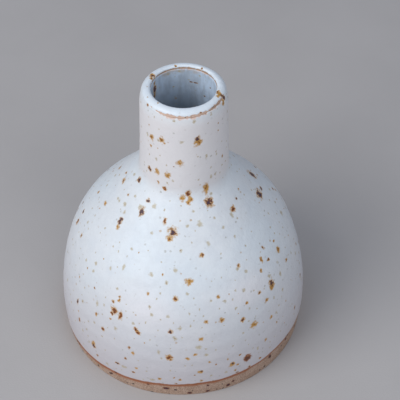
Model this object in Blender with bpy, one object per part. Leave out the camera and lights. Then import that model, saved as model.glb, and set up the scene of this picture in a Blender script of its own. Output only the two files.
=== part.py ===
"""Hand-thrown ceramic bud vase: a domed stoneware body with a straight neck.

The pot stands on the origin with +Z up. It is modelled as the pieces that the
potter puts together: three sections of clay (the turned base, the belly wall
and the neck collar) and three coats of glaze (outside, over the lip, and inside).
Each piece is a profile of (radius, height) turned about the Z axis.
"""
import math

import bmesh
import bpy
from mathutils import Vector

MM = 0.001                      # profiles are written in millimetres
SEGMENTS = 48                   # facets round every turned piece

# Driving dimensions, in millimetres.
HEIGHT = 119.5
NECK_FOOT_RADIUS = 17.0         # outside of the glazed neck where it leaves the shoulder
NECK_FOOT_HEIGHT = 84.0
NECK_TOP_RADIUS = 16.3          # outside of the glazed neck just under the lip
NECK_TOP_HEIGHT = 113.0
LIP_RADIUS = 15.6               # outside of the lip where its corner starts to turn in
LIP_CORNER = 2.6                # radius of the lip's outer corner
BORE_RADIUS = 11.7              # inside of the glazed neck
BORE_FOOT_HEIGHT = 78.5         # where the bore opens into the hollow body
FLOOR_HEIGHT = 7.8              # glazed floor inside
FLOOR_CORNER = 4.0              # inside radius between wall and floor

# The glazed body is a long arc up the belly, a tighter arc over the shoulder and a straight
# slope, with a fillet into the neck. A lean is an angle inward from upright, in degrees.
BELLY_RADIUS = 50.0             # outside of the body at its widest
BELLY_HEIGHT = 12.0             # where it is widest
BELLY_ARC = 100.0
BELLY_LEAN = 18.0               # the belly's arc gives way to the shoulder's here
SHOULDER_ARC = 50.0
SHOULDER_LEAN = 41.5            # the shoulder's arc gives way to the slope here
NECK_FILLET = 8.0
WALL = 5.6                      # the body's wall with both its coats

GLAZE = 0.5                     # thickness of a coat of glaze
GAP = 0.3                       # clearance between pieces that touch on the real pot
SKIN = GLAZE + GAP              # from a glazed surface to the clay under it

SEAM_LOW = 11.0                 # height of the join between base and wall
SEAM_HIGH = 80.0                # height of the join between wall and neck

FOOT_RADIUS = 49.2              # outer edge of the clay, just over its chamfer
FOOT_CHAMFER = 0.7
FOOT_RING_INNER = 37.5          # the flat ring that the pot stands on starts here
FOOT_RECESS = 1.0               # the underside is hollowed by this much

GLAZE_LINE_MEAN = 6.3           # height of the glaze's lower edge, which dips to one side
GLAZE_LINE_TILT = 2.8           # because the pot was dipped at a slant
GLAZE_LINE_HIGH_SIDE = math.radians(-20)
GLAZE_LINE_RIPPLE = 0.25
GLAZE_LINE_BLEND = 20.0         # above this height the coat is not affected by its edge


def remove_everything():
    for item in list(bpy.data.objects):
        bpy.data.objects.remove(item, do_unlink=True)


def arc(centre, radius, start, end, steps):
    """Points on an arc, angles in degrees from the outward direction."""
    points = []
    for i in range(steps + 1):
        angle = math.radians(start + (end - start) * i / steps)
        points.append(Vector((centre[0] + radius * math.cos(angle),
                              centre[1] + radius * math.sin(angle))))
    return points


def offset(path, distance):
    """The path moved sideways to its right-hand side by the distance, with mitred corners."""
    moved = []
    for i, point in enumerate(path):
        before = point - path[i - 1] if i > 0 else path[1] - point
        after = path[i + 1] - point if i < len(path) - 1 else before
        before.normalize()
        after.normalize()
        along = (before + after).normalized()
        side = Vector((along.y, -along.x))
        moved.append(point + side * distance / along.dot(after))
    return moved


def band(path, thickness):
    """Closed outline of a coat whose free face is the path, going up the outside."""
    return path + list(reversed(offset(path, -thickness)))


def turned(name, outline, on_axis=False):
    """Spins a closed outline round Z. An outline that starts and ends on the axis stays open."""
    mesh = bpy.data.meshes.new(name)
    bm = bmesh.new()
    verts = [bm.verts.new((x * MM, 0, z * MM)) for x, z in outline]
    edges = [bm.edges.new(pair) for pair in zip(verts, verts[1:])]
    if not on_axis:
        edges.append(bm.edges.new((verts[-1], verts[0])))
    bmesh.ops.spin(bm, geom=verts + edges, cent=(0, 0, 0), axis=(0, 0, 1), angle=2 * math.pi,
                   steps=SEGMENTS, use_merge=True)
    bmesh.ops.remove_doubles(bm, verts=bm.verts, dist=0.00001)
    bmesh.ops.recalc_face_normals(bm, faces=bm.faces)
    bm.to_mesh(mesh)
    bm.free()
    mesh.shade_smooth()
    mesh.set_sharp_from_angle(angle=math.radians(40))
    piece = bpy.data.objects.new(name, mesh)
    bpy.context.collection.objects.link(piece)
    return piece


def finish(piece, colour, roughness):
    material = bpy.data.materials.new(piece.name)
    material.use_nodes = True
    shader = material.node_tree.nodes["Principled BSDF"]
    shader.inputs["Base Color"].default_value = (*colour, 1)
    shader.inputs["Roughness"].default_value = roughness
    shader.inputs["Metallic"].default_value = 0
    piece.data.materials.append(material)


def neck_fillet():
    """The soft corner between the slope and the neck, going up."""
    centre = (NECK_FOOT_RADIUS + NECK_FILLET, NECK_FOOT_HEIGHT)
    return arc(centre, NECK_FILLET, 180 + SHOULDER_LEAN, 180, 2)


def body_path():
    """Free face of the glazed body, from the glaze line up to the fillet."""
    low = math.degrees(math.asin((GLAZE_LINE_MEAN - BELLY_HEIGHT) / BELLY_ARC))
    belly = arc((BELLY_RADIUS - BELLY_ARC, BELLY_HEIGHT), BELLY_ARC, low, BELLY_LEAN, 6)
    lean = math.radians(BELLY_LEAN)
    centre = belly[-1] - SHOULDER_ARC * Vector((math.cos(lean), math.sin(lean)))
    shoulder = arc(centre, SHOULDER_ARC, BELLY_LEAN, SHOULDER_LEAN, 4)
    top = neck_fillet()[0]
    return belly + shoulder[1:] + [shoulder[-1].lerp(top, 0.5), top]


def outside_path():
    """Free face of the outer glaze, from the glaze line up to the lip's corner."""
    neck = [Vector((NECK_TOP_RADIUS, NECK_TOP_HEIGHT)),
            Vector((LIP_RADIUS + 0.45, HEIGHT - LIP_CORNER - 2.4))]
    return body_path() + neck_fillet()[1:] + neck + lip_corner(0, 36, 2)


def lip_corner(start, end, steps):
    return arc((LIP_RADIUS - LIP_CORNER, HEIGHT - LIP_CORNER), LIP_CORNER, start, end, steps)


def lip_path():
    """Free face of the glaze on the lip, from its outer corner to the edge of the bore."""
    inner = [Vector((BORE_RADIUS + 0.8, HEIGHT - 0.2)), Vector((BORE_RADIUS + 0.3, HEIGHT - 0.8))]
    return lip_corner(44, 90, 3) + inner


def inside_path():
    """Free face of the liner, from the top of the bore down to the middle of the floor."""
    bore = [Vector((BORE_RADIUS, HEIGHT - 1.3)), Vector((BORE_RADIUS, BORE_FOOT_HEIGHT))]
    hollow = offset([p for p in body_path() if p.y > BELLY_HEIGHT], -WALL)
    corner_r = BELLY_RADIUS - WALL - FLOOR_CORNER
    corner = arc((corner_r, FLOOR_HEIGHT + FLOOR_CORNER), FLOOR_CORNER, 0, -90, 3)
    return bore + hollow[::-1] + corner + [Vector((0, FLOOR_HEIGHT))]


def cut_path(path, low, high):
    """The stretch of a path between two heights, with a point put in exactly at each."""
    kept = []
    for a, b in zip(path, path[1:]):
        if low <= a.y <= high:
            kept.append(a)
        for height in sorted((low, high), reverse=b.y < a.y):
            if min(a.y, b.y) < height < max(a.y, b.y):
                kept.append(a.lerp(b, (height - a.y) / (b.y - a.y)))
    if low <= path[-1].y <= high:
        kept.append(path[-1])
    return kept


def glaze_line(angle):
    """Height of the outer glaze's lower edge at an angle round the pot."""
    slant = GLAZE_LINE_TILT * math.cos(angle - GLAZE_LINE_HIGH_SIDE)
    ripple = GLAZE_LINE_RIPPLE * (math.sin(3 * angle + 0.8) + 0.6 * math.sin(7 * angle))
    return GLAZE_LINE_MEAN + slant + ripple


def slant_lower_edge(piece):
    """Moves the lower part of the outer glaze so that its edge follows the glaze line."""
    for vert in piece.data.vertices:
        height = vert.co.z / MM
        if height >= GLAZE_LINE_BLEND:
            continue
        low = glaze_line(math.atan2(vert.co.y, vert.co.x))
        share = (GLAZE_LINE_BLEND - height) / (GLAZE_LINE_BLEND - GLAZE_LINE_MEAN)
        vert.co.z = (height + (low - GLAZE_LINE_MEAN) * share) * MM


def make_base():
    """The turned base: floor, upstanding rim and foot ring, bare on the outside."""
    clay_inside = offset(inside_path(), -SKIN)
    rim_top = SEAM_LOW - GAP / 2
    inside = [p for p in cut_path(clay_inside, 0, rim_top) if p.x > 0]
    inside.append(Vector((0, FLOOR_HEIGHT - SKIN)))
    outer_top = cut_path(offset(outside_path(), -SKIN), rim_top, SEAM_HIGH)[0]
    outline = [(0, FOOT_RECESS), (FOOT_RING_INNER - 1.5, FOOT_RECESS), (FOOT_RING_INNER, 0),
               (FOOT_RADIUS - FOOT_CHAMFER, 0), (FOOT_RADIUS, FOOT_CHAMFER), outer_top]
    piece = turned("base", outline + inside, on_axis=True)
    finish(piece, (0.52, 0.43, 0.36), 0.85)


def make_belly_wall():
    """The thrown wall of the hollow body, from the base's rim to the neck."""
    low = SEAM_LOW + GAP / 2
    high = SEAM_HIGH - GAP / 2
    outer = cut_path(offset(outside_path(), -SKIN), low, high)
    inner = cut_path(offset(inside_path(), -SKIN), low, high)
    piece = turned("belly_wall", outer + inner)
    finish(piece, (0.50, 0.42, 0.36), 0.85)


def make_neck_collar():
    """The tube of clay that stands on the shoulder, with a rounded lip."""
    low = SEAM_HIGH + GAP / 2
    outer = cut_path(offset(outside_path(), -SKIN), low, HEIGHT - LIP_CORNER - 0.2)
    corner = arc((LIP_RADIUS - LIP_CORNER, HEIGHT - LIP_CORNER), LIP_CORNER - SKIN - 0.1, 20, 80, 3)
    top, bore = corner[-1].y, BORE_RADIUS + SKIN
    rim = [Vector((bore + 0.15, top - 0.5)), Vector((bore, top - 1.2)), Vector((bore, low))]
    piece = turned("neck_collar", outer + corner + rim)
    finish(piece, (0.50, 0.42, 0.36), 0.85)


def make_glazes():
    outer = turned("outer_glaze", band(outside_path(), GLAZE))
    slant_lower_edge(outer)
    finish(outer, (0.80, 0.82, 0.86), 0.35)
    lip = turned("lip_glaze", band(lip_path(), GLAZE))
    finish(lip, (0.82, 0.84, 0.88), 0.35)
    path = inside_path()
    behind = offset(path, -GLAZE)
    behind[-1].x = 0
    liner = turned("liner_glaze", list(reversed(path)) + behind, on_axis=True)
    finish(liner, (0.55, 0.60, 0.66), 0.35)


remove_everything()
make_base()
make_belly_wall()
make_neck_collar()
make_glazes()
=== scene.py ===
"""Looks of the ceramic bud vase: glaze coats, speckles, bare clay foot, studio and camera.

Lengths are in millimetres, except in the camera, the lights and shader coordinates, which are in
metres. A place on the pot is given by its azimuth in degrees (0 faces -Y, 90 faces +X) and its
height over the foot.
"""
import math

import bpy
import numpy as np
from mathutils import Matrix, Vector


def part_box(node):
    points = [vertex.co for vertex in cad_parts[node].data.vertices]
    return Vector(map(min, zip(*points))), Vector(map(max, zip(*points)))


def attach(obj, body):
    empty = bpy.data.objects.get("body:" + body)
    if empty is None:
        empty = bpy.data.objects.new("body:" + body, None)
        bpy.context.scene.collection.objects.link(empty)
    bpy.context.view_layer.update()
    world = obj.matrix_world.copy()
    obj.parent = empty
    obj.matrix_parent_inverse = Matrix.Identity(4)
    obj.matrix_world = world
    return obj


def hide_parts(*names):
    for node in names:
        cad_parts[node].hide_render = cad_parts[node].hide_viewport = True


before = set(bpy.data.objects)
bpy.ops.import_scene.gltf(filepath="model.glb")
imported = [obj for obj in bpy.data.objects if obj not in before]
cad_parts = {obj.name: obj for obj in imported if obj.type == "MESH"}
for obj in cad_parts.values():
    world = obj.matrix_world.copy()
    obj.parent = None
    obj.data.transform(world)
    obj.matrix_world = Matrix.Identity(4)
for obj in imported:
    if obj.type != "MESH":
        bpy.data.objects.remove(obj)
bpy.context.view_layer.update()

MM = 0.001


def top_of(node):
    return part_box(node)[1].z / MM


def half_width(node):
    low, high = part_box(node)
    return (high.x - low.x) / 2 / MM


# ---------------------------------------------------------------- sizes
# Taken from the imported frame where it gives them. The others are as in the CAD model or near it.
HEIGHT = top_of("lip_glaze")
BODY_RADIUS = half_width("outer_glaze")
BASE_TOP = top_of("base")
FLOOR = 7.8
FOOT_RADIUS = 49.2
FOOT_CHAMFER = 0.5
FOOT_RING_INNER = 37.5      # the flat ring that the pot stands on starts here
FOOT_RECESS = 1.0           # the underside is hollowed by this much
GLAZE = 0.5                 # thickness of a coat
CLAY_GAP = 0.02             # from the hidden side of a coat to the clay
GLAZE_LINE = 6.3            # mean height of the outer glaze's lower edge
GLAZE_LINE_TILT = 2.8       # it dips to one side, because the pot was dipped at a slant
GLAZE_LINE_HIGH_SIDE = math.radians(-20)
BORE_RADIUS = 11.7
LIP_CORNER = 2.6            # radius of the lip's outer corner
LIP_RADIUS = 15.6

# The body is a long arc up the belly, a tighter arc over the shoulder and a straight slope, with
# a fillet into the neck. A lean is an angle inward from upright, in degrees.
BELLY_HEIGHT = 12           # where the body is widest
BELLY_ARC = 100
BELLY_LEAN = 18             # the belly's arc gives way to the shoulder's here
SHOULDER_ARC = 50
SHOULDER_LEAN = 41.5        # the shoulder's arc gives way to the slope here
NECK_FILLET = 8
NECK_FOOT = (17, 84)
NECK_TOP = (16.2, 113)
WALL = 5.6                  # the body's wall with both its coats
BORE_FOOT = 78.5            # where the bore opens into the hollow body
FLOOR_CORNER = 4            # inside radius between wall and floor
HOLLOW_RADIUS = BODY_RADIUS - WALL
NECK_SEAM = 80.2            # height of the join between wall and neck

ROUND = 360                 # facets round a piece
ROW = 0.8                   # distance between rows of points on the outside


# ---------------------------------------------------------------- the pot's profile
def bend(start, corner, end, steps=24):
    """Quadratic curve that rounds off a corner."""
    t = np.linspace(0, 1, steps)[:, None]
    a, b, c = (np.array(q, float) for q in (start, corner, end))
    return a * (1 - t) ** 2 + 2 * b * t * (1 - t) + c * t ** 2


def arc(centre, radius, start, end, steps=24):
    angle = np.radians(np.linspace(start, end, steps))
    return np.stack([centre[0] + radius * np.cos(angle), centre[1] + radius * np.sin(angle)], 1)


def line(start, end, spacing=1.0):
    a, b = np.array(start, float), np.array(end, float)
    t = np.linspace(0, 1, int(np.hypot(*(b - a)) / spacing) + 2)[:, None]
    return a + (b - a) * t


def join(*stretches):
    """One path from several, without the doubled points where they meet."""
    path = np.concatenate(stretches)
    step = np.hypot(*np.diff(path, axis=0).T)
    return path[np.concatenate([[True], step > 1e-4])]


class Face:
    """The free face of the glaze as one path: up the outside, over the lip, down the inside."""

    def __init__(self):
        # The outside, going up.
        lean = math.radians(BELLY_LEAN)
        belly_centre = np.array([BODY_RADIUS - BELLY_ARC, BELLY_HEIGHT])
        shoulder_centre = belly_centre \
            + (BELLY_ARC - SHOULDER_ARC) * np.array([math.cos(lean), math.sin(lean)])
        foot_lean = -math.degrees(math.asin(BELLY_HEIGHT / BELLY_ARC))
        belly = arc(belly_centre, BELLY_ARC, foot_lean, BELLY_LEAN, 120)
        shoulder = arc(shoulder_centre, SHOULDER_ARC, BELLY_LEAN, SHOULDER_LEAN, 60)
        fillet = arc((NECK_FOOT[0] + NECK_FILLET, NECK_FOOT[1]), NECK_FILLET,
                     180 + SHOULDER_LEAN, 180)
        slope = line(shoulder[-1], fillet[0], 0.5)
        neck = line(NECK_FOOT, NECK_TOP, 0.5)
        under_lip = bend(NECK_TOP, (16.15, 114.6), (LIP_RADIUS, HEIGHT - LIP_CORNER))
        # The lip and the bore.
        corner_centre = (LIP_RADIUS - LIP_CORNER, HEIGHT - LIP_CORNER)
        corner = arc(corner_centre, LIP_CORNER, 0, 90)
        crown = line(corner[-1], (12.9, HEIGHT), 0.1)
        inner_edge = bend((12.9, HEIGHT), (BORE_RADIUS, HEIGHT - 0.1), (BORE_RADIUS, HEIGHT - 2.4))
        bore = line((BORE_RADIUS, HEIGHT - 2.4), (BORE_RADIUS, BORE_FOOT + 2.4))
        # The hollow follows the outside, going down.
        lean = math.radians(SHOULDER_LEAN)
        slope_in = slope[::-1] - WALL * np.array([math.cos(lean), math.sin(lean)])
        shoulder_in = arc(shoulder_centre, SHOULDER_ARC - WALL, SHOULDER_LEAN, BELLY_LEAN, 40)
        belly_in = arc(belly_centre, BELLY_ARC - WALL, BELLY_LEAN, 0, 40)
        flare = bend((BORE_RADIUS, BORE_FOOT + 2.4), (BORE_RADIUS, BORE_FOOT), slope_in[0])
        floor_corner = arc((HOLLOW_RADIUS - FLOOR_CORNER, FLOOR + FLOOR_CORNER), FLOOR_CORNER,
                           0, -90)
        floor = line(floor_corner[-1], (0.5, FLOOR))
        self.path = join(belly, shoulder, slope, fillet, neck, under_lip, corner, crown,
                         inner_edge, bore, flare, slope_in, shoulder_in, belly_in,
                         floor_corner, floor)
        step = np.hypot(*np.diff(self.path, axis=0).T)
        self.length = np.concatenate([[0], np.cumsum(step)])
        along = np.gradient(self.path, self.length, axis=0)
        along /= np.linalg.norm(along, axis=1)[:, None]
        self.side = np.stack([along[:, 1], -along[:, 0]], 1)
        self.outer_break = self.at(corner[11])
        self.inner_break = self.at(inner_edge[14])
        self.neck_foot = self.at(NECK_FOOT)
        self.end = self.length[-1]

    def at(self, point):
        """Length along the path of its point nearest to the given one."""
        return self.length[np.argmin(np.hypot(*(self.path - np.array(point)).T))]

    def at_height(self, height):
        """Length along the outside at a height."""
        outside = self.length < self.outer_break
        return np.interp(height, self.path[outside, 1], self.length[outside])

    def points(self, length, depth):
        """Radius and height at lengths along the path, set back into the pot by depth."""
        r, z = (np.interp(length, self.length, self.path[:, k]) for k in (0, 1))
        nr, nz = (np.interp(length, self.length, self.side[:, k]) for k in (0, 1))
        return r - nr * depth, z - nz * depth


FACE = Face()


def ease(value, low, high):
    """0 below low, 1 above high, smooth between."""
    t = np.clip((value - low) / (high - low), 0, 1)
    return t * t * (3 - 2 * t)


def glaze_line(angle):
    """Height of the glaze's lower edge: a slant from dipping, with ripples."""
    return GLAZE_LINE + GLAZE_LINE_TILT * np.cos(angle - GLAZE_LINE_HIGH_SIDE) \
        + 0.25 * (np.sin(3 * angle + 0.8) + 0.6 * np.sin(7 * angle)) \
        + 0.10 * np.sin(17 * angle + 1.0) + 0.06 * np.sin(31 * angle)


def thrown(r, z, angle):
    """Points in space for radius and height, with the small faults of a hand-thrown pot."""
    rings = 0.045 * np.sin(z / 1.05 + 0.8 * np.sin(angle)) * ease(z, 8, 20) * (1 - ease(z, 74, 80))
    dents = 0.10 * np.sin(2 * angle + 0.6 + z / 40) + 0.06 * np.sin(3 * angle - z / 23 + 2) \
        + 0.05 * np.sin(5 * angle + z / 11)
    swell = (rings + dents) * ease(r, 12, 40) + 0.05 * np.sin(2 * angle + z / 9) * ease(r, 2, 10)
    r = r + swell
    x, y = r * np.cos(angle), r * np.sin(angle)
    lean = ease(z, 35, 100)
    tilt = ease(z, 96, HEIGHT)
    return np.stack([x + 1.2 * lean, y, z - 0.03 * tilt * y], -1)


ANGLES = np.linspace(0, 2 * math.pi, ROUND, endpoint=False)


def azimuth_of(angle):
    """Azimuth in degrees, -180 to 180, of a mathematical angle round Z."""
    return (np.degrees(angle) + 90 + 180) % 360 - 180


AZIMUTHS = azimuth_of(ANGLES)


# ---------------------------------------------------------------- mesh making
def build(name, rows, closed=True, poles=False):
    """A mesh from rows of points round the pot: (rows, ROUND, 3), in millimetres.

    closed joins the last row to the first; poles closes both ends with a single point.
    """
    count = len(rows)
    verts = rows.reshape(-1, 3)
    i = np.arange(count if closed else count - 1)[:, None]
    j = np.arange(ROUND)[None, :]
    i2, j2 = (i + 1) % count, (j + 1) % ROUND
    quads = np.stack([i * ROUND + j, i * ROUND + j2, i2 * ROUND + j2, i2 * ROUND + j], -1)
    faces = quads.reshape(-1, 4).tolist()
    if poles:
        low, high = len(verts), len(verts) + 1
        ends = [[0, 0, rows[0, :, 2].mean()], [0, 0, rows[-1, :, 2].mean()]]
        verts = np.concatenate([verts, ends])
        last = (count - 1) * ROUND
        for k in range(ROUND):
            following = (k + 1) % ROUND
            faces.append([low, following, k])
            faces.append([high, last + k, last + following])
    mesh = bpy.data.meshes.new(name)
    mesh.from_pydata((verts * MM).tolist(), [], faces)
    mesh.validate()
    mesh.shade_smooth()
    piece = bpy.data.objects.new(name, mesh)
    bpy.context.collection.objects.link(piece)
    return piece


def rows_at(lengths, depths):
    """Rows of points on the face: lengths and depths are (rows, ROUND) or broadcast to it."""
    lengths = np.broadcast_to(lengths, np.broadcast_shapes(np.shape(lengths), (1, ROUND)))
    r, z = FACE.points(lengths, depths)
    return thrown(r, z, np.broadcast_to(ANGLES, r.shape))


def set_floats(piece, name, values):
    layer = piece.data.attributes.new(name, "FLOAT", "POINT")
    full = np.zeros(len(piece.data.vertices), np.float32)
    full[:len(values)] = values
    layer.data.foreach_set("value", full)


def set_vectors(piece, name, values):
    layer = piece.data.attributes.new(name, "FLOAT_VECTOR", "POINT")
    full = np.zeros((len(piece.data.vertices), 3), np.float32)
    full[:len(values)] = values
    layer.data.foreach_set("vector", full.ravel())


# ---------------------------------------------------------------- speckles
# What the kinds of speckle look like: how far the brown heart reaches, how dark its middle is
# (0 rust, 1 purple-black) and how strongly it stains the glaze.
KINDS = {
    "dark": (0.74, 0.95, 1.0), "rust": (0.74, 0.0, 1.0), "solid": (1.4, 0.12, 1.0),
    "brown": (0.55, 0.5, 1.0), "amber": (0.34, 0.15, 1.0), "slate": (0.8, 1.3, 0.85),
    "faint": (0.22, 0.0, 0.70), "iron": (2.0, 0.7, 1.0),
}
# Speckles on the outside as (azimuth, height, width), or with a fourth number, how many times
# taller than wide.
SPECKLES = {
    "dark": [
        (29, 77.7, 3.6), (-8, 70.6, 3.5), (86, 66.8, 4.2), (-67, 79.6, 2.2), (-49, 89, 2.1),
        (-4.3, 37.2, 1.8), (51, 44.2, 2.5, 1.4), (104, 69, 2.6, 2.2), (-90, 55, 1.6),
        (-44, 14.5, 1.9, 1.2), (79, 29, 1.6), (8, 7.9, 1.5, 0.7), (9.9, 15.8, 1.2, 0.8),
        (24.5, 16.1, 1.3), (27, 9.3, 1.6, 0.5), (-30, 12.8, 1.9, 0.6),
        (4.5, 7.6, 2.0, 0.45), (15, 8.3, 1.0, 0.6)],
    "rust": [
        (50, 72.5, 2.4), (-16.5, 73.2, 1.3, 2.0), (55, 57.4, 1.0, 1.7), (-33.3, 39.6, 3.1),
        (-29.5, 38.6, 1.7, 2.2), (-34.2, 37.6, 1.5), (-20.8, 35.2, 1.9, 1.1), (-19.6, 33.9, 1.9),
        (-38.5, 28, 1.7, 1.2), (-4.8, 24.4, 2.6), (-4.0, 22.9, 1.2), (-23.7, 24.8, 1.2, 1.4),
        (-25.5, 18, 1.1), (-21.7, 11.3, 1.4, 0.8), (16.5, 18.2, 0.9), (6.8, 13.7, 0.8),
        (-24.3, 83.0, 1.7), (6, 82.0, 2.0, 1.2), (105, 58, 1.4), (-88, 51, 2.2, 1.3),
        (33.5, 9.4, 1.1), (39.5, 11, 1.1), (-1.7, 8.6, 1.2, 0.7), (67, 20, 1.3, 1.5),
        (-55, 21.5, 1.3, 1.6), (-42, 10, 1.3, 1.2), (24, 118.3, 0.8), (31, 117.5, 0.7),
        (-56, 117.9, 1.0)],
    "solid": [(32.3, 15.6, 2.7, 1.1)],
    "iron": [
        (-7.5, 4.2, 1.5, 0.5), (3.5, 1.4, 1.0, 0.7), (12, 1.4, 0.9, 0.8), (22, 2, 0.9), (46, 6, 0.9),
        (12, 5, 0.6), (24.5, 3.5, 0.6), (59, 6, 0.8), (-16, 5, 0.7, 0.6), (-35, 3, 0.6),
        (70, 4, 0.7), (-60, 2.5, 0.6), (118, 5, 0.9), (150, 3, 0.7), (-150, 2.4, 0.8)],
    "brown": [
        (-3.2, 50.7, 2.0), (31, 37.5, 2.0), (34.5, 57.4, 1.4), (42, 44.3, 1.4),
        (54.5, 52.7, 1.5), (28.3, 20.3, 1.1), (-35.5, 43, 1.3), (-32.6, 46.3, 1.1),
        (13, 63.6, 1.6), (-85, 74, 2.2, 0.9), (-75, 52.3, 1.3, 1.4), (9.7, 9.8, 1.3), (0, 11.2, 1.2),
        (-93, 75.2, 1.2), (57.5, 93.4, 0.9, 1.8), (26, 11.2, 1.2), (-65, 74, 1.0),
        (-48.5, 43, 1.0)],
    "amber": [
        (-10.2, 68.6, 2.3, 0.9), (-53.7, 65.2, 1.7, 1.0), (-20.3, 90, 2.2, 1.4),
        (-28.6, 106.2, 2.0, 1.3), (4, 56.4, 2.7), (36.9, 32.6, 3.0), (10, 33.2, 1.8),
        (20.5, 40.7, 2.0), (13, 40.7, 1.7),
        (19, 49.8, 1.6), (64.5, 51.9, 2.5), (65, 55.5, 1.2, 0.8), (67.5, 45.2, 1.6), (46.4, 39.7, 1.7),
        (47.4, 30.3, 1.5), (43, 20, 1.4), (-32.4, 44.8, 1.1, 1.5), (-17.7, 51.1, 1.3),
        (-43.5, 32.5, 1.1, 1.7), (-21.7, 22.5, 1.4, 1.1), (-20.3, 14.3, 1.3), (-9.3, 10.8, 1.5),
        (7, 25.7, 1.4, 0.8), (3.7, 23.8, 1.7, 0.8), (9.2, 15.5, 2.3, 0.7), (24.3, 15.6, 2.3),
        (27, 14.3, 1.1), (-1.5, 80.4, 1.9, 1.4), (8.3, 79.8, 1.9, 1.2), (5.5, 78.8, 1.8),
        (29, 82.6, 2.2, 2.3), (-36, 89.9, 1.9, 1.6), (-44.5, 105.3, 2.0, 1.3),
        (-46.5, 101, 1.0, 1.3), (-34, 84.9, 1.0, 1.6), (18.6, 106.0, 2.9, 1.1), (-5, 97, 2.2, 1.3),
        (-79, 65.5, 2.0, 0.8), (50, 54.6, 1.3, 1.8), (33.5, 43, 1.3), (50.5, 43.0, 2.6, 1.4),
        (-24.8, 105, 0.9), (70, 75, 0.9), (-2.6, 12.3, 0.9), (13.5, 20.5, 1.1, 0.8),
        (47, 51.5, 1.2, 1.3), (-34.8, 35, 1.1, 0.8), (-44.2, 15.6, 2.2, 1.2), (66, 117.4, 1.0)],
    "slate": [
        (-40.5, 73.2, 2.7, 1.2), (-40, 76.9, 1.6), (-54.5, 67.1, 1.9, 1.9), (-58, 29.5, 1.2, 2.4),
        (18.0, 107.9, 1.9, 1.3), (60, 74, 1.0), (-12.7, 95, 0.6)],
    "faint": [
        (8.7, 29.4, 2.3, 0.9), (-61, 71.5, 1.5), (-56, 69.8, 1.4), (-44, 37.5, 1.3, 1.6),
        (51, 47.3, 1.6), (22, 47.5, 1.2),
        (15, 72.5, 2.0, 1.2), (34, 69.5, 1.2), (46, 71.4, 1.2, 1.8), (-31, 76.4, 1.7),
        (-45, 74.2, 1.5), (-72, 70.5, 1.2), (-69, 70.5, 1.3), (4, 72.3, 1.1), (19, 66.5, 1.2, 1.5),
        (40, 65.5, 1.1), (-4, 59.8, 1.4, 1.3), (-8.7, 55.8, 1.3), (-18, 57.5, 1.5), (-1, 65.3, 1.2),
        (-35.5, 56.6, 1.1, 2.2), (-43, 54, 1.1, 1.4), (-53.5, 51.5, 1.3, 1.2), (-53, 48.5, 1.2),
        (-35, 48.7, 1.1), (-25, 69, 1.1), (-54, 32.5, 1.2, 1.4), (-72, 30, 1.1, 1.8),
        (33.2, 56.5, 1.2, 1.2), (38, 54.4, 1.2), (33.5, 48.5, 1.2, 1.3), (29, 50, 1.0),
        (59, 43.8, 1.1, 2.0), (58.5, 37.5, 1.3), (27.5, 43, 1.1), (30.5, 31.2, 1.1),
        (51, 30.5, 1.0, 1.4), (0, 38.6, 1.4), (-6.5, 43.8, 1.3), (-16, 46.5, 1.1),
        (-14.5, 43.5, 1.2), (-22.5, 37.5, 1.2), (-31.5, 31.5, 1.4), (-2.2, 34, 1.4, 1.4),
        (12, 24.8, 1.3), (12, 28, 1.0), (38, 18, 1.0, 1.6), (-9.5, 26.5, 1.3, 1.4),
        (-26.5, 12.5, 1.9, 0.8), (-12.7, 9.5, 1.9, 0.7), (21.5, 12, 1.3, 0.8),
        (-36, 8.7, 1.2), (29.7, 98.4, 1.0, 1.8), (36.5, 87.5, 1.1, 1.6), (43.5, 87.6, 0.9, 1.5),
        (-53, 105, 1.0, 1.4), (-34, 105.4, 1.0), (-2.3, 106.8, 1.4), (-13.5, 87.8, 0.9, 1.5),
        (39, 116.2, 0.9), (-12, 116, 1.0), (-80, 78.6, 1.4), (46, 97, 0.8, 1.6), (3, 52.4, 1.1),
        (-57, 75.5, 0.9), (-62, 62, 1.0), (-78, 57, 1.1, 1.4), (-35, 62.5, 1.0), (-61, 49, 1.0),
        (-64, 24, 1.1), (-49, 20.5, 1.1), (-52, 17.5, 1.2), (-44, 28, 1.0), (14.3, 12, 1.1),
        (34.5, 79.8, 1.1), (10.5, 76.3, 0.9), (14, 115.6, 1.1)],
}
# Crusts on the lip as (azimuth, radius, width, times longer across the lip than along it, kind).
LIP_CRUSTS = [
    (-118, 12.9, 1.9, 1.0, "dark"), (-121, 13.8, 1.7, 1.0, "amber"), (-112, 12.7, 1.3, 1, "brown"),
    (75, 12.8, 1.7, 1.0, "brown"), (71, 13.3, 1.8, 1.0, "amber"), (70, 14.4, 1.5, 1.3, "dark"),
    (66, 13.6, 1.5, 1.0, "amber"), (148, 12.3, 0.8, 1.0, "brown"), (-166, 12.3, 0.9, 1.0, "brown"),
]
# What runs down from the crust on the right, on the outside of the lip, and the marks in the bore:
# (azimuth, height, width, times taller than wide, kind).
RUN_FROM_LIP = [(71, 118.4, 1.5, 1.6, "dark"), (70, 116.6, 1.4, 1.8, "dark"),
                (70.5, 114.3, 1.3, 2.0, "brown"), (66, 117.2, 1.7, 1.5, "amber"),
                (65, 115.2, 1.1, 1.8, "amber")]
BORE_MARKS = [(-113, 113.8, 2.6, 1.5, "dark"), (-111, 110.8, 1.6, 1.8, "dark"),
              (-114, 117.0, 1.4, 1.0, "brown"), (167, 112.6, 1.2, 0.5, "dark"),
              (159, 111.8, 1.5, 0.4, "dark"), (171, 113.4, 0.9, 0.5, "faint"),
              (-172, 117.2, 1.2, 0.8, "faint"), (-150, 117.0, 1.4, 0.8, "faint"),
              (150, 116.0, 1.0, 0.6, "faint"), (125, 113.0, 0.8, 0.8, "slate"),
              (-160, 110.0, 0.9, 0.7, "faint"), (140, 107.5, 0.9, 0.6, "slate")]
LAYERS = 6                  # speckle layers of the material
SPREAD = 1.25               # a speckle's stain is this many times the width given above
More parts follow.
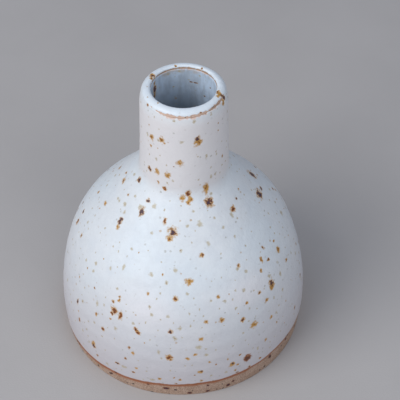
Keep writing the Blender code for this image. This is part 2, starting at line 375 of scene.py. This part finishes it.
REACH_PAST_EDGE = 1.3       # how far past its stain a speckle's place is stored
APART = 1.4                 # least gap between what two speckles of one layer reach


def scattered(seed, count):
    """More speckles, small and faint among the placed ones and of all kinds where none are."""
    rng = np.random.default_rng(seed)
    made = []
    for _ in range(count):
        azimuth = rng.uniform(-180, 180)
        height = rng.uniform(8, 116)
        radius = FACE.points(FACE.at_height(height), 0)[0]
        if rng.uniform(0, 50) > radius:
            continue
        unseen = abs(azimuth) > 78 + 0.6 * max(0, height - 40)
        kinds = ["faint", "amber", "brown", "rust", "dark", "slate"]
        chance = [0.50, 0.22, 0.11, 0.08, 0.05, 0.04] if unseen else [0.90, 0.08, 0.02, 0, 0, 0]
        kind = kinds[rng.choice(6, p=chance)]
        biggest = 1.9 if unseen else 0.55
        width = 0.45 + biggest * rng.beta(1.3, 3.2)
        made.append((azimuth, height, width, rng.uniform(0.8, 1.6), kind))
    return made


# The speckles of the belly were read off a little too far round, and those on its right side a
# little too high, so they are moved by these amounts.
TURNED_BACK = 0.9           # degrees
LOWERED = 0.7               # millimetres


def on_the_pot(azimuth, height):
    """Where a speckle of the table belongs on the pot."""
    if not 7 <= height < 43:
        return azimuth, height
    right_side = azimuth > 15 and height > 20
    return azimuth - TURNED_BACK, height - (LOWERED if right_side else 0)


def speckle_list():
    """All speckles as dicts: where, which way is up there, and what they look like."""
    placed = [(*on_the_pot(*s[:2]), *s[2:], *([1.0] if len(s) == 3 else []), kind)
              for kind, group in SPECKLES.items() for s in group]
    found = []

    def add(azimuth, length, width, stretch, kind):
        angle = np.radians(azimuth - 90)
        here, above = (thrown(*FACE.points(length + step, 0), angle) for step in (-0.2, 0.2))
        up = (above - here) / np.linalg.norm(above - here)
        across = np.array([-math.sin(angle), math.cos(angle), 0])
        half = width / 2 * SPREAD
        found.append({"at": (here + above) / 2, "up": up, "across": across, "half": half,
                      "stretch": stretch, "kind": KINDS[kind],
                      "reach": 1.35 * half * max(stretch, 1) + REACH_PAST_EDGE})

    for azimuth, height, width, stretch, kind in placed + RUN_FROM_LIP:
        add(azimuth, FACE.at_height(height), width, stretch, kind)
    for azimuth, radius, width, stretch, kind in LIP_CRUSTS:
        add(azimuth, FACE.at((radius, HEIGHT)), width, stretch, kind)
    for azimuth, height, width, stretch, kind in BORE_MARKS:
        add(azimuth, FACE.at((BORE_RADIUS, height)), width, stretch, kind)
    sure = len(found)
    for azimuth, height, width, stretch, kind in scattered(7, 1500):
        add(azimuth, FACE.at_height(height), width, stretch, kind)
        here = found[-1]
        others = np.array([s["at"] for s in found[:-1]])
        near = np.linalg.norm(others - here["at"], axis=1) < 2.3 + here["half"]
        if near.any():
            found.pop()
    return found[:sure], found[sure:]


def deal_into_layers():
    """Shares the speckles among layers so that no two in one layer come near each other.

    A speckle that finds no room in any layer is left out.
    """
    layers = [[] for _ in range(LAYERS)]
    sure, extra = speckle_list()
    for spot in sorted(sure, key=lambda s: -s["half"]) + extra:
        for layer in layers:
            if all(np.linalg.norm(spot["at"] - other["at"])
                   > spot["reach"] + other["reach"] + APART for other in layer):
                layer.append(spot)
                break
    return layers


SPOT_LAYERS = deal_into_layers()


def mark_speckles(piece, points):
    """Stores, at each point near a speckle, where the point lies relative to that speckle."""
    points = points.reshape(-1, 3)
    for k, layer in enumerate(SPOT_LAYERS):
        place = np.full((len(points), 3), 9.0)
        look = np.zeros((len(points), 3))
        size, near = np.ones(len(points)), np.zeros(len(points))
        for spot in layer:
            offset = points - spot["at"]
            hit = np.einsum("ij,ij->i", offset, offset) < spot["reach"] ** 2
            if not hit.any():
                continue
            local = offset[hit]
            u, v = local @ spot["across"], local @ spot["up"]
            w = local - np.outer(u, spot["across"]) - np.outer(v, spot["up"])
            place[hit] = np.stack([u, v / spot["stretch"], np.linalg.norm(w, axis=1) * 0.3], 1)
            look[hit] = spot["kind"]
            size[hit] = spot["half"]
            near[hit] = 1
        set_vectors(piece, f"spot_place_{k}", place)
        set_vectors(piece, f"spot_look_{k}", look)
        set_floats(piece, f"spot_size_{k}", size)
        set_floats(piece, f"spot_near_{k}", near)


# ---------------------------------------------------------------- pieces of the pot
def bump_at(azimuth, centre, width):
    """1 at an azimuth, falling to 0 on both sides."""
    gap = (azimuth - centre + 180) % 360 - 180
    return np.exp(-(gap / width) ** 2)


# How plainly the clay shows along the two edges of the lip, round the pot, and where: the outer
# edge runs lower at the front.
OUTER_EDGE = FACE.outer_break - 1.5 * bump_at(AZIMUTHS, -3, 50)
RAGGED = 1 + 0.22 * np.sin(9 * ANGLES) + 0.20 * np.sin(23 * ANGLES + 1) \
    + 0.20 * np.sin(41 * ANGLES) + 0.15 * np.sin(67 * ANGLES)
OUTER_BREAK = RAGGED * (0.04 + 0.96 * bump_at(AZIMUTHS, -3, 34)
                        + 0.75 * bump_at(AZIMUTHS, 50, 20) + 0.5 * bump_at(AZIMUTHS, 170, 50))
INNER_BREAK = RAGGED * (0.18 + 0.75 * bump_at(AZIMUTHS, 165, 80))
OUTER_SHOWN = ease(OUTER_BREAK, 0.08, 0.45)      # where it is hardly bare, the coats close up
INNER_SHOWN = ease(INNER_BREAK, 0.10, 0.50)
OUTER_GAP = 0.85 * OUTER_BREAK * OUTER_SHOWN     # width of the bare line
INNER_GAP = 0.42 * INNER_BREAK * INNER_SHOWN


def feather(distance, width=0.7, shown=1.0):
    """Thickness of a coat at a distance from its edge: a quarter ellipse where the edge shows."""
    t = np.clip(distance / width, 0, 1)
    return GLAZE * (1 - 0.85 * shown * (1 - np.sqrt(1 - (1 - t) ** 2)))


def spaced(start, end, spacing, fine_start=0.0, fine_end=0.0):
    """Fractions 0 to 1 between two lengths, finer within the given distances of the ends."""
    total = end - start
    steps = [0.0]
    while steps[-1] < total:
        here = steps[-1]
        fine = (here < fine_start) or (total - here < fine_end)
        steps.append(here + (min(spacing, 0.14) if fine else spacing))
    return np.array(steps[:-1] + [total]) / total


# Whiter patches on the glaze, as (azimuth, height, half width, half height). The two at the front are
# painted sheen, reflections of low windows; the two further round are whiter glaze.
SHEEN_AND_PALE_PATCHES = [(-17, 44, 15, 8), (34, 47, 16, 6), (150, 50, 25, 9), (-110, 40, 20, 8)]


def make_outer_glaze():
    top = OUTER_EDGE - OUTER_GAP / 2
    low = glaze_line(ANGLES)
    share = spaced(GLAZE_LINE, FACE.outer_break, ROW, 1.1, 4.0)[:, None]
    # The lowest rows follow the glaze line and the highest the lip's edge; the others lie level.
    level = GLAZE_LINE + share * (FACE.outer_break - GLAZE_LINE)
    follow_low, follow_top = 1 - ease(share, 0, 0.18), ease(share, 0.85, 1)
    lengths = level + (low - GLAZE_LINE) * follow_low + (top - FACE.outer_break) * follow_top
    from_low, from_top = lengths - low, top - lengths
    bead = 0.12 * np.exp(-((from_low - 0.9) / 0.8) ** 2)
    thickness = np.minimum(feather(from_low, width=0.9) + bead, feather(from_top, shown=OUTER_SHOWN))
    face = rows_at(lengths, GLAZE - thickness)
    # The coat's hidden side needs close rows only in the hollow curve at the neck's foot.
    curve = np.array([FACE.neck_foot - 16, FACE.neck_foot + 4])
    curve = (curve - GLAZE_LINE) / (FACE.outer_break - GLAZE_LINE)
    back_share = np.unique(np.concatenate([np.linspace(0, 1, 14), np.linspace(*curve, 22)]))
    back = low + back_share[::-1, None] * (top - low)
    rows = np.concatenate([face, rows_at(back, GLAZE)])
    piece = build("outer_glaze_coat", rows)
    blank = np.zeros((len(back), ROUND))
    thin = np.concatenate([OUTER_BREAK * np.exp(-(from_top / 0.7) ** 2), blank]).ravel()
    rust = np.concatenate([np.exp(-(np.maximum(from_low, 0) / 0.9) ** 2), blank]).ravel()
    _, height = FACE.points(lengths, 0)
    # band for the painted warmth on the upright neck, which gets less of the blue overhead light
    neck = np.concatenate([ease(height, 79, 86) * (1 - ease(height, 112, 119)), blank]).ravel()
    set_floats(piece, "thin", thin)
    set_floats(piece, "rust", rust)
    set_floats(piece, "neck", neck)
    # whiter patches: painted sheen at the front, whiter glaze further round
    pale = sum(bump_at(AZIMUTHS, azimuth, width) * np.exp(-((height - middle) / tall) ** 2)
               for azimuth, middle, width, tall in SHEEN_AND_PALE_PATCHES)
    set_floats(piece, "pale", np.concatenate([pale, blank]).ravel())
    mark_speckles(piece, rows)
    return piece


def make_lip_glaze():
    start = OUTER_EDGE + OUTER_GAP / 2
    end = FACE.inner_break - INNER_GAP / 2
    share = np.linspace(0, 1, 44)[:, None]
    lengths = start + share * (end - start)
    from_out, from_in = lengths - start, end - lengths
    thickness = np.minimum(feather(from_out, shown=OUTER_SHOWN),
                           feather(from_in, width=0.5, shown=INNER_SHOWN))
    face = rows_at(lengths, GLAZE - thickness)
    back = start + np.linspace(1, 0, 10)[:, None] * (end - start)
    rows = np.concatenate([face, rows_at(back, GLAZE)])
    piece = build("lip_glaze_coat", rows)
    blank = np.zeros((len(back), ROUND))
    edge = OUTER_BREAK * np.exp(-(from_out / 0.5) ** 2) \
        + 0.9 * INNER_BREAK * np.exp(-(from_in / 0.3) ** 2)
    set_floats(piece, "thin", np.concatenate([edge, blank]).ravel())
    mark_speckles(piece, rows)
    return piece


def make_liner():
    start = FACE.inner_break + INNER_GAP / 2
    share = spaced(FACE.inner_break, FACE.end, 1.3, 2.0)[:, None]
    lengths = start + share * (FACE.end - start)
    thickness = feather(lengths - start, width=0.5, shown=INNER_SHOWN)
    face = rows_at(lengths, GLAZE - thickness)
    back = start + np.linspace(1, 0, 90)[:, None] * (FACE.end - start)
    # Both sides of the coat close on the axis, at the middle of the floor.
    rows = np.concatenate([rows_at(back, GLAZE), face])
    piece = build("liner_glaze_coat", rows, closed=False, poles=True)
    edge = INNER_BREAK * np.exp(-((lengths - start) / 0.35) ** 2)
    set_floats(piece, "thin", np.concatenate([np.zeros((len(back), ROUND)), edge]).ravel())
    mark_speckles(piece, rows)
    return piece


def clay_depth(lengths):
    """How deep the clay lies under the free face: it comes up to the surface at the lip's edges."""
    outer = np.exp(-((lengths - OUTER_EDGE) / 0.7) ** 2)
    inner = np.exp(-((lengths - FACE.inner_break) / 0.5) ** 2)
    return GLAZE + CLAY_GAP - (GLAZE - 0.10) * np.maximum(outer, inner)


def make_neck_clay():
    """The neck's tube of clay, which comes up between the coats at the lip's edges."""
    bottom = NECK_SEAM + 0.3
    low, bore_low = FACE.at_height(bottom), FACE.at((BORE_RADIUS, bottom))
    rims = [line((0, low), (0, FACE.outer_break - 4), 1.2)[:, 1],
            np.arange(FACE.outer_break - 3.9, FACE.inner_break + 2, 0.14),
            line((0, FACE.inner_break + 2.1), (0, bore_low), 2.0)[:, 1]]
    lengths = np.concatenate(rims)[:, None]
    rows = rows_at(lengths, clay_depth(lengths))
    piece = build("neck_clay", rows)
    inside = ease(lengths, FACE.inner_break - 1.5, FACE.inner_break - 1.0)
    rusty = np.maximum(inside, 0.8 * bump_at(AZIMUTHS, 52, 22))
    set_floats(piece, "rusty", rusty.ravel())
    return piece


def make_belly_clay():
    """The wall between foot and neck, all of it under glaze."""
    low = BASE_TOP + 0.3
    outside = line((0, FACE.at_height(low)), (0, FACE.at_height(NECK_SEAM)), 1.5)[:, 1]
    inner_top, inner_low = FACE.at((BORE_RADIUS, NECK_SEAM)), FACE.at((HOLLOW_RADIUS, low))
    inside = line((0, inner_top), (0, inner_low), 2.0)[:, 1]
    rows = rows_at(np.concatenate([outside, inside])[:, None], GLAZE + CLAY_GAP)
    return build("belly_clay", rows)


def make_foot():
    """The turned base: hollowed underside, foot ring, bare band and the rim inside the wall."""
    ring_in, ring_out = FOOT_RING_INNER, FOOT_RADIUS - FOOT_CHAMFER
    behind_liner = 0.8          # from the liner's face to the clay of the base
    floor_edge, under_floor = HOLLOW_RADIUS - FLOOR_CORNER, FLOOR - behind_liner
    r_line, z_line = FACE.points(np.linspace(FOOT_CHAMFER, BASE_TOP, 40), GLAZE + 0.04)
    r_line = r_line - (r_line[0] - FOOT_RADIUS) * (1 - ease(z_line, 0, 8))
    chamfer = bend((ring_out, 0), (FOOT_RADIUS, 0.0), (r_line[0], z_line[0]), 10)
    recess_edge = (ring_in - 2.2, FOOT_RECESS)
    profile = join(
        line((1.0, FOOT_RECESS), recess_edge, 0.5),
        bend(recess_edge, (ring_in - 0.8, FOOT_RECESS - 0.1), (ring_in, 0), 10),
        line((ring_in, 0), (ring_out, 0), 1.0),
        chamfer, np.stack([r_line, z_line], 1),
        line((r_line[-1], BASE_TOP), (HOLLOW_RADIUS + behind_liner + 0.1, BASE_TOP), 1.5),
        arc((floor_edge, FLOOR + FLOOR_CORNER), FLOOR_CORNER + behind_liner, -20, -90, 8),
        line((floor_edge, under_floor), (1.0, under_floor), 4.0))
    r, z = profile[:, 0][:, None], profile[:, 1][:, None]
    under = (1 - ease(z, 0.9, 1.3)) * (r < ring_in)
    grooves = 0.05 * np.sin(2 * math.pi * r / 1.3 + ANGLES) * under * ease(r, 2, 6)
    band = ease(z, 0.8, 1.6) * (1 - ease(z, 10, 10.5)) * (r > 46)
    turned = 0.018 * np.sin(2 * math.pi * z / 0.8 + 1.5 * np.sin(ANGLES)) * band
    r, z = r + turned, z + grooves
    rows = thrown(r, z, np.broadcast_to(ANGLES, z.shape))
    rows[..., 2] = np.maximum(rows[..., 2], 0)
    piece = build("turned_base", rows, closed=False, poles=True)
    below = glaze_line(ANGLES) - rows[..., 2]
    set_floats(piece, "below_glaze", below.ravel())
    mark_speckles(piece, rows)
    return piece


# ---------------------------------------------------------------- materials
class Shader:
    """A material's node tree, with short calls for the nodes that the materials share."""

    def __init__(self, name):
        self.material = bpy.data.materials.new(name)
        self.material.use_nodes = True
        self.tree = self.material.node_tree
        self.surface = self.tree.nodes["Principled BSDF"]
        self.coordinates = self.add("ShaderNodeTexCoord").outputs["Object"]

    def add(self, kind, **settings):
        node = self.tree.nodes.new(kind)
        for key, value in settings.items():
            setattr(node, key, value)
        return node

    def put(self, value, socket):
        if isinstance(value, bpy.types.NodeSocket):
            self.tree.links.new(value, socket)
        elif value is not None:
            socket.default_value = value

    def math(self, operation, a, b=None):
        node = self.add("ShaderNodeMath", operation=operation)
        self.put(a, node.inputs[0])
        self.put(b, node.inputs[1])
        return node.outputs[0]

    def vector(self, operation, a, b=None, scale=None):
        node = self.add("ShaderNodeVectorMath", operation=operation)
        self.put(a, node.inputs[0])
        self.put(b, node.inputs[1])
        if scale is not None:
            self.put(scale, node.inputs["Scale"])
        return node.outputs["Value" if operation == "LENGTH" else "Vector"]

    def mix(self, factor, a, b):
        """Colour a where factor is 0, b where it is 1."""
        node = self.add("ShaderNodeMix", data_type="RGBA")
        self.put(factor, node.inputs[0])
        self.put((*a, 1) if isinstance(a, tuple) else a, node.inputs[6])
        self.put((*b, 1) if isinstance(b, tuple) else b, node.inputs[7])
        return node.outputs[2]

    def remap(self, value, low, high, to_low=0.0, to_high=1.0):
        """Smooth step from to_low, where value is low, to to_high, where it is high."""
        node = self.add("ShaderNodeMapRange", interpolation_type="SMOOTHSTEP")
        for socket, item in zip(node.inputs, (value, low, high, to_low, to_high)):
            self.put(item, socket)
        return node.outputs[0]

    def noise(self, size, detail=3.0, roughness=0.5, coordinates=None):
        """Noise whose lumps measure about size millimetres."""
        node = self.add("ShaderNodeTexNoise")
        self.put(coordinates or self.coordinates, node.inputs["Vector"])
        node.inputs["Scale"].default_value = 1 / (size * MM)
        node.inputs["Detail"].default_value = detail
        node.inputs["Roughness"].default_value = roughness
        return node

    def specks(self, size):
        """Voronoi cells about size millimetres apart: (distance to the centre in mm, colour)."""
        node = self.add("ShaderNodeTexVoronoi")
        self.put(self.coordinates, node.inputs["Vector"])
        node.inputs["Scale"].default_value = 1 / (size * MM)
        return self.math("MULTIPLY", node.outputs["Distance"], size), node.outputs["Color"]

    def attribute(self, name, output="Fac"):
        return self.add("ShaderNodeAttribute", attribute_name=name).outputs[output]

    def split(self, colour):
        """The three channels of a colour."""
        node = self.add("ShaderNodeSeparateColor")
        self.put(colour, node.inputs[0])
        return node.outputs

    def axes(self, vector):
        """The X, Y and Z of a vector."""
        node = self.add("ShaderNodeSeparateXYZ")
        self.put(vector, node.inputs[0])
        return node.outputs

    def uneven(self, value, noise, amount):
        """The value made to wander by noise, by up to half the amount each way."""
        return self.math("ADD", value, self.math("MULTIPLY", self.math("SUBTRACT", noise, 0.5),
                                                 amount))

    def warp(self, size, detail, roughness, amount):
        """A wandering vector, for shifting places in another pattern."""
        noise = self.noise(size, detail, roughness).outputs["Color"]
        centred = self.vector("SUBTRACT", noise, (0.5, 0.5, 0.5))
        return self.vector("SCALE", centred, scale=amount)

    def bump(self, height, depth, previous=None):
        """Bump of the height field, depth millimetres from 0 to 1."""
        node = self.add("ShaderNodeBump")
        node.inputs["Distance"].default_value = depth * MM
        self.put(height, node.inputs["Height"])
        self.put(previous, node.inputs["Normal"])
        return node.outputs[0]

    def finish(self, colour, roughness, normal, **constants):
        self.put(colour, self.surface.inputs["Base Color"])
        self.put(roughness, self.surface.inputs["Roughness"])
        self.put(normal, self.surface.inputs["Normal"])
        for name, value in constants.items():
            self.surface.inputs[name.replace("_", " ")].default_value = value
        return self.material


# Colours of the glaze and of what shows through it, with painted light and shade among them, as
# marked.
WHITE = (0.705, 0.765, 0.80)
CREAM = (0.725, 0.762, 0.785)
SHADED = (0.60, 0.66, 0.72)
# white of the painted sheen at the front and of the whiter glaze further round
PALE_AND_SHEEN_WHITE = (0.84, 0.84, 0.86)
# painted blue of the overhead sky light on the lip's upward face
LIP_PAINTED_SKY_BLUE = (0.74, 0.82, 0.88)
# painted shade low on the belly, darker and warmer towards the foot, where little light comes up from
# below
LOW_SHADE = (0.55, 0.525, 0.55)     # the lowest part of the belly
# painted warmth of the upright neck, which gets less of the blue overhead light
NECK_PAINTED_WARMTH = (0.77, 0.74, 0.74)
AMBER = (0.50, 0.27, 0.06)
OLIVE = (0.46, 0.39, 0.23)
RUST = (0.31, 0.10, 0.015)
DARK_RUST = (0.12, 0.034, 0.012)
PURPLE_BLACK = (0.05, 0.028, 0.055)
THIN_GLAZE = (0.66, 0.47, 0.38)
FLASH = (0.34, 0.12, 0.05)


def speckle_layer(s, k, colour, relief, wobble, grit):
    """Adds one layer of speckles to a colour, and returns it with the relief so far."""
    near = s.math("GREATER_THAN", s.attribute(f"spot_near_{k}"), 0.97)
    place = s.attribute(f"spot_place_{k}", "Vector")
    heart, darkness, strength = s.axes(s.attribute(f"spot_look_{k}", "Vector"))
    size = s.attribute(f"spot_size_{k}")
    moved = s.vector("ADD", place, s.vector("SCALE", wobble, scale=size))
    distance = s.math("DIVIDE", s.vector("LENGTH", s.vector("ADD", moved, grit)), size)
    strength = s.math("MULTIPLY", strength, near)
    halo = s.math("MULTIPLY", s.remap(distance, 1.20, 0.42), strength)
    in_heart = s.math("DIVIDE", distance, s.math("ADD", heart, 0.01))
    brown = s.math("MULTIPLY", s.remap(in_heart, 0.98, 0.55), strength)
    middle = s.math("MULTIPLY", s.remap(in_heart, 0.72, 0.30), strength)
    colour = s.mix(halo, colour, s.mix(s.remap(heart, 0.2, 0.34), OLIVE, AMBER))
    colour = s.mix(brown, colour, s.mix(darkness, RUST, DARK_RUST))
    core = s.mix(darkness, DARK_RUST, PURPLE_BLACK)
    colour = s.mix(middle, colour, core)
    relief = s.math("SUBTRACT", relief, s.math("MULTIPLY", halo, 0.5))
    relief = s.math("ADD", relief, s.math("MULTIPLY", middle, 0.8))
    return colour, relief


def lining_colour(s, mottle):
    """The liner, with painted shade that darkens it with depth and painted light on its right wall,
    plus strokes and a stained top.
    """
    x, y, z = s.axes(s.coordinates)
    # painted shade: darker deeper down the bore
    colour = s.mix(s.remap(z, 0.092, 0.117), (0.22, 0.275, 0.33), (0.52, 0.62, 0.73))
    # painted light: the right wall, lit from the left, paler and bluer
    colour = s.mix(s.remap(x, 0.002, 0.011, 0.0, 0.5), colour, (0.62, 0.75, 0.90))
    stroke = s.noise(3.0, 3, 0.6, s.vector("MULTIPLY", s.coordinates, (1, 1, 0.35)))
    colour = s.mix(s.remap(stroke.outputs["Fac"], 0.35, 0.65, 0.0, 0.45), colour,
                   (0.27, 0.30, 0.33))
    stain = s.math("MULTIPLY", s.remap(z, 0.1125, 0.118),
                   s.math("MULTIPLY", mottle, s.remap(y, 0.003, 0.010)))
    return s.mix(s.remap(stain, 0.30, 0.6, 0.0, 0.7), colour, (0.42, 0.36, 0.31))


def outside_colour(s, lip):
    """Cloudy white with paler patches, partly painted sheen; on the lip, a painted sky blue instead.
    """
    cloud = s.noise(22, 2).outputs["Fac"]
    colour = s.mix(s.remap(cloud, 0.35, 0.65), WHITE, CREAM)
    patchy = s.noise(7, 4, 0.6).outputs["Fac"]
    colour = s.mix(s.remap(patchy, 0.42, 0.68, 0.0, 0.25), colour, SHADED)
    # painted sheen of low windows on the front patches, whiter glaze on the others
    colour = s.mix(s.math("MULTIPLY", s.attribute("pale"), 0.8), colour, PALE_AND_SHEEN_WHITE)
    # the lip is painted bluer, for the sky light falling on its upward face
    return s.mix(0.7, colour, LIP_PAINTED_SKY_BLUE) if lip else colour


def tiny_specks(s, colour, grain):
    """Adds tiny specks, olive-grey ones and fewer brown ones, and returns the relief too."""
    distance, cell = s.specks(1.9)
    size, strength, sort = s.split(cell)
    radius = s.math("MULTIPLY", s.remap(size, 0.35, 1.0), 0.50)
    wavy = s.uneven(distance, grain, 0.9)
    speck = s.remap(s.math("SUBTRACT", wavy, radius), 0.08, -0.12)
    fade = s.math("MULTIPLY", speck, s.remap(strength, 0.2, 1.0, 0.10, 0.65))
    tint = s.mix(s.math("GREATER_THAN", sort, 0.80), (0.40, 0.40, 0.36), (0.45, 0.28, 0.12))
    return s.mix(fade, colour, tint), s.math("MULTIPLY", fade, -0.3)


def glaze_material(name, lining=False, lip=False):
    """Satin white stoneware glaze with iron speckles breaking through."""
    s = Shader(name)
    mottle = s.noise(2.2, 4, 0.6).outputs["Fac"]
    grain = s.noise(0.45, 3, 0.6).outputs["Fac"]
    colour = lining_colour(s, mottle) if lining else outside_colour(s, lip)
    colour = s.mix(s.remap(mottle, 0.40, 0.72, 0.0, 0.16), colour, (0.58, 0.60, 0.62))
    colour = s.mix(s.remap(grain, 0.55, 0.75, 0.0, 0.10), colour, (0.45, 0.45, 0.45))
    if not lining:
        # painted warmth on the neck, for the light it gets from the side
        colour = s.mix(s.math("MULTIPLY", s.attribute("neck"), 0.75), colour, NECK_PAINTED_WARMTH)
        # painted shade, darker towards the foot
        painted_low_shade = s.remap(s.axes(s.coordinates)[2], 0.060, 0.002, 0.0, 0.95)
        colour = s.mix(painted_low_shade, colour, LOW_SHADE)
    colour, relief = tiny_specks(s, colour, grain)
    wobble, grit = s.warp(1.1, 1.5, 0.5, 1.7), s.warp(0.5, 2, 0.5, 0.45)
    for k in range(LAYERS):
        colour, relief = speckle_layer(s, k, colour, relief, wobble, grit)
    thin = s.uneven(s.attribute("thin"), mottle, 0.9)
    colour = s.mix(s.remap(thin, 0.35, 0.95, 0.0, 0.85), colour, THIN_GLAZE)
    if not lining:
        flash = s.uneven(s.attribute("rust"), mottle, 0.8)
        colour = s.mix(s.remap(flash, 0.35, 0.85, 0.0, 0.9), colour, FLASH)
    normal = s.bump(s.noise(5, 3).outputs["Fac"], 0.25)
    normal = s.bump(mottle, 0.08, normal)
    normal = s.bump(s.noise(0.9, 3, 0.55).outputs["Fac"], 0.06, normal)
    normal = s.bump(relief, 0.10, normal)
    roughness = s.remap(mottle, 0.3, 0.7, 0.42, 0.54)
    return s.finish(colour, roughness, normal, Specular_IOR_Level=0.5)


def clay_material(name, foot=False, lip=False):
    """Unglazed stoneware: grainy beige clay with iron specks, rusty next to the glaze."""
    s = Shader(name)
    grain = s.noise(0.35, 4, 0.65).outputs["Fac"]
    cloud = s.noise(6, 3).outputs["Fac"]
    colour = s.mix(s.remap(cloud, 0.35, 0.65), (0.36, 0.235, 0.165), (0.43, 0.295, 0.22))
    colour = s.mix(s.remap(grain, 0.50, 0.60, 0.0, 0.7), colour, (0.60, 0.455, 0.36))
    colour = s.mix(s.remap(grain, 0.47, 0.38, 0.0, 0.7), colour, (0.20, 0.13, 0.10))
    if foot:
        below = s.uneven(s.attribute("below_glaze"), cloud, 1.6)
        colour = s.mix(s.remap(below, 2.4, 0.9, 0.0, 0.95), colour, FLASH)
    if lip:
        colour = s.mix(s.attribute("rusty"), s.mix(cloud, (0.64, 0.46, 0.36), (0.58, 0.40, 0.31)),
                       (0.37, 0.25, 0.17))
    distance, cell = s.specks(2.4)
    radius = s.math("MULTIPLY", s.remap(s.split(cell)[0], 0.45, 1.0), 0.75)
    wavy = s.uneven(distance, grain, 0.8)
    speck = s.remap(s.math("SUBTRACT", wavy, radius), 0.08, -0.10)
    colour = s.mix(s.math("MULTIPLY", speck, 0.9), colour, (0.035, 0.022, 0.018))
    relief = grain
    if foot:
        wobble = s.warp(0.8, 2, 0.5, 1.2)
        for k in range(LAYERS):
            colour, relief = speckle_layer(s, k, colour, relief, wobble, (0, 0, 0))
    normal = s.bump(relief, 0.18)
    normal = s.bump(s.noise(1.6, 3).outputs["Fac"], 0.12, normal)
    return s.finish(colour, s.remap(grain, 0.3, 0.7, 0.72, 0.9), normal)


def wear(piece, material):
    """Gives a piece one material in place of any that it has."""
    piece.data.materials.clear()
    piece.data.materials.append(material)


# ---------------------------------------------------------------- camera, lights and floor
CAMERA_AWAY = 0.3421        # metres in front of the pot's axis
CAMERA_UP = 0.4047          # metres above the floor
CAMERA_ASIDE = 0.0071       # metres to the right
CAMERA_PITCH = 45.1         # degrees down from level
LENS = 110.9                # focal length in millimetres
FLOOR_HALF = 3.0            # metres from the pot to the floor's edge


def make_camera():
    data = bpy.data.cameras.new("camera")
    data.lens = LENS
    data.clip_start = 0.01
    camera = bpy.data.objects.new("camera", data)
    bpy.context.collection.objects.link(camera)
    camera.location = (CAMERA_ASIDE, -CAMERA_AWAY, CAMERA_UP)
    camera.rotation_euler = (math.radians(90 - CAMERA_PITCH), 0, 0)
    bpy.context.scene.camera = camera


def area_light(name, place, aim, width, power, colour):
    data = bpy.data.lights.new(name, "AREA")
    data.size = width
    data.energy = power
    data.color = colour
    light = bpy.data.objects.new(name, data)
    bpy.context.collection.objects.link(light)
    light.location = place
    direction = Vector(aim) - light.location
    light.rotation_mode = "QUATERNION"
    light.rotation_quaternion = direction.to_track_quat("-Z", "Y")


def make_studio():
    """Two big soft windows and a pale sky, warmer at the horizon."""
    middle = (0, 0, 0.06)
    area_light("key_window", (-0.82, -0.57, 0.84), middle, 1.0, 11.4, (0.97, 0.97, 0.985))
    area_light("fill_window", (0.50, -0.80, 0.72), middle, 0.9, 3.4, (0.95, 0.96, 1.0))
    world = bpy.data.worlds.new("studio")
    world.use_nodes = True
    tree = world.node_tree
    background = tree.nodes["Background"]
    direction = tree.nodes.new("ShaderNodeTexCoord").outputs["Generated"]
    parts = tree.nodes.new("ShaderNodeSeparateXYZ")
    tree.links.new(direction, parts.inputs[0])
    sky = tree.nodes.new("ShaderNodeMix")
    sky.data_type = "RGBA"
    sky.inputs[6].default_value = (0.68, 0.64, 0.66, 1)
    sky.inputs[7].default_value = (0.86, 1.00, 1.25, 1)
    tree.links.new(parts.outputs[2], sky.inputs[0])
    tree.links.new(sky.outputs[2], background.inputs["Color"])
    background.inputs["Strength"].default_value = 0.40
    bpy.context.scene.world = world
    bpy.context.scene.view_settings.view_transform = "Standard"


def make_floor():
    mesh = bpy.data.meshes.new("floor")
    corners = [(x * FLOOR_HALF, y * FLOOR_HALF, 0) for x, y in ((-1, -1), (1, -1), (1, 1), (-1, 1))]
    mesh.from_pydata(corners, [], [(0, 1, 2, 3)])
    floor = bpy.data.objects.new("floor", mesh)
    bpy.context.collection.objects.link(floor)
    s = Shader("floor_card")
    shade = s.remap(s.noise(60, 3).outputs["Fac"], 0.3, 0.7)
    colour = s.mix(shade, (0.44, 0.42, 0.405), (0.46, 0.44, 0.425))
    wear(floor, s.finish(colour, 0.8, s.bump(s.noise(0.8, 2).outputs["Fac"], 0.05)))


# ---------------------------------------------------------------- putting it together
make_camera()
make_studio()
make_floor()
glaze = glaze_material("speckled_glaze")
lip_glaze = glaze_material("lip_glaze", lip=True)
lining = glaze_material("liner_glaze", lining=True)
clay = clay_material("stoneware")
foot_clay = clay_material("bare_foot_clay", foot=True)
lip_clay = clay_material("lip_edge_clay", lip=True)
for make, node, material, slot in (
        (make_outer_glaze, "outer_glaze", glaze, "outer_glaze"),
        (make_lip_glaze, "lip_glaze", lip_glaze, "lip_glaze"),
        (make_liner, "liner_glaze", lining, "liner_glaze"),
        (make_neck_clay, "neck_collar", lip_clay, "clay_body"),
        (make_belly_clay, "belly_wall", clay, "clay_body"),
        (make_foot, "base", foot_clay, "bare_clay")):
    piece = make()
    wear(piece, material)
    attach(piece, "root")
    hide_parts(node)
